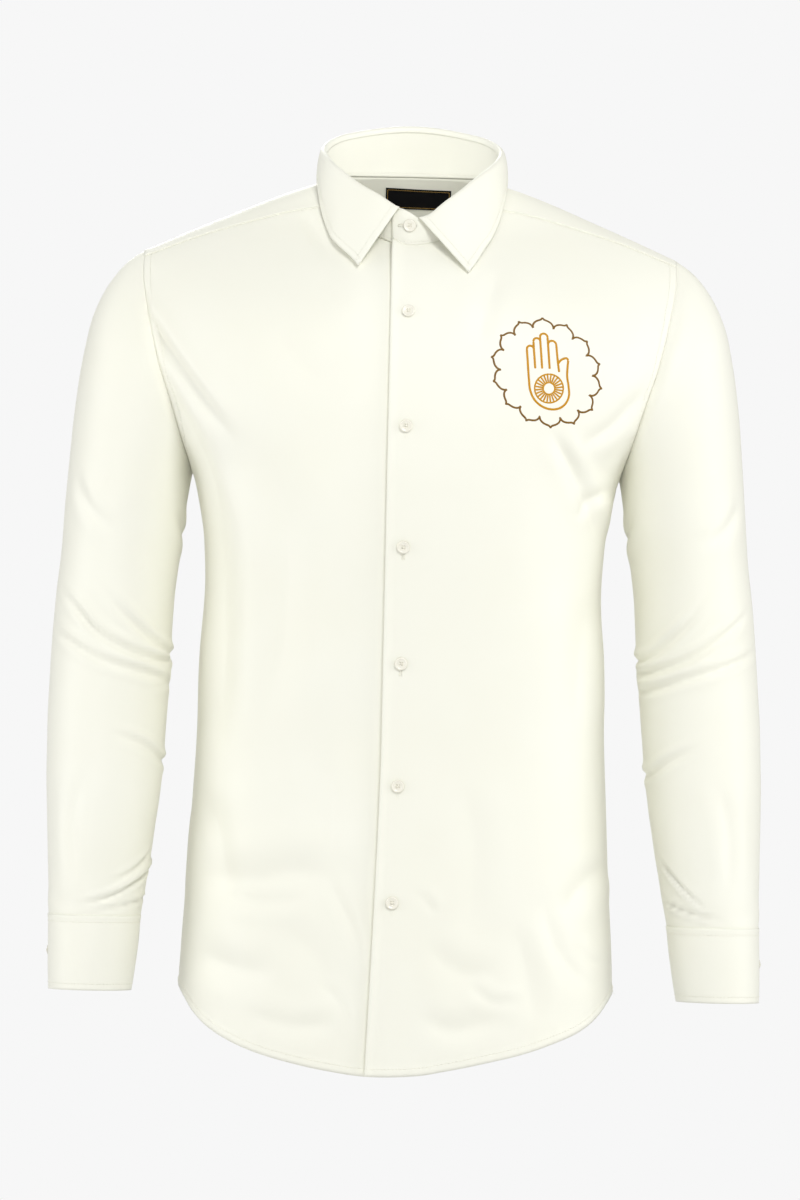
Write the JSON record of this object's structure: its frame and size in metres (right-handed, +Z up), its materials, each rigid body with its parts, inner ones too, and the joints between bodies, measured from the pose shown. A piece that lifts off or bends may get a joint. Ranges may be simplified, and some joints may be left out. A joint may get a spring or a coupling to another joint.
{
  "type": "embroidered shirt",
  "caption": "Long-sleeved buttoned dress shirt with a spread collar, straight cuffs, a shirt-tail hem and chest embroidery, filled out as when worn",
  "frame": {"origin": "midway between the wearer's shoulders, level with the side of the neck, where the yoke carries the shirt", "axes": "+X to the wearer's left, +Y to the wearer's back, +Z up"},
  "size_m": [0.6172, 0.2419, 0.8198],
  "materials": {
    "ivory_cotton": "satin",
    "pearl_button": "gloss",
    "woven_label": "matte"
  },
  "bodies": {
    "root": {"front_left": "ivory_cotton", "front_right": "ivory_cotton", "back": "ivory_cotton", "yoke": "ivory_cotton", "collar_stand": "ivory_cotton", "collar_leaf": "ivory_cotton", "sleeve_left": "ivory_cotton", "sleeve_right": "ivory_cotton", "sleeve_placket_left": "ivory_cotton", "sleeve_placket_right": "ivory_cotton", "cuff_left": "ivory_cotton", "cuff_right": "ivory_cotton", "front_button_1": "pearl_button", "front_button_2": "pearl_button", "front_button_3": "pearl_button", "front_button_4": "pearl_button", "front_button_5": "pearl_button", "front_button_6": "pearl_button", "front_button_7": "pearl_button", "cuff_button_left": "pearl_button", "cuff_button_right": "pearl_button", "neck_label": "woven_label"}
  },
  "joints": []
}
